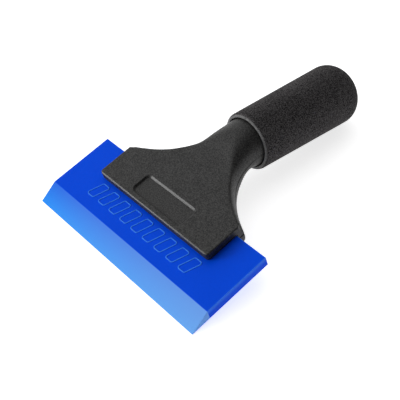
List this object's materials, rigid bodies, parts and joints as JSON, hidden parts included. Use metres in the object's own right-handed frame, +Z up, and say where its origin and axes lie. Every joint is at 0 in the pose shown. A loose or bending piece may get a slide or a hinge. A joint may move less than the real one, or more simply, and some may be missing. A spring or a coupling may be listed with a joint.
{
  "type": "squeegee applicator",
  "caption": "Hand squeegee for pressing down film and wiping off water: a bevelled blue urethane blade clamped in a two-shell black handle with a foam grip.",
  "frame": {"origin": "on the surface the tool rests on, at the middle of its bounding box's base", "axes": "+X along the blade's working edge, +Y from the blade towards the grip's end, +Z up; the tool rests on the blade's edge and the underside of the grip's end"},
  "size_m": [0.127, 0.1716, 0.0384],
  "materials": {
    "blade_urethane": "gloss",
    "shell_plastic": "matte",
    "grip_foam": "matte",
    "zinc_screw": "satin",
    "brass_insert": "satin"
  },
  "bodies": {
    "handle": {"front_shell": "shell_plastic", "back_shell": "shell_plastic", "foam_grip": "grip_foam", "left_jaw_screw": "zinc_screw", "right_jaw_screw": "zinc_screw", "neck_screw": "zinc_screw", "left_jaw_insert": "brass_insert", "right_jaw_insert": "brass_insert", "neck_insert": "brass_insert"},
    "blade": {"blade": "blade_urethane"}
  },
  "joints": [
    {"name": "blade_slide", "type": "slide", "parent": "handle", "child": "blade", "axis": [1, 0, 0], "range_m": [-0.1069, 0.1069]}
  ]
}
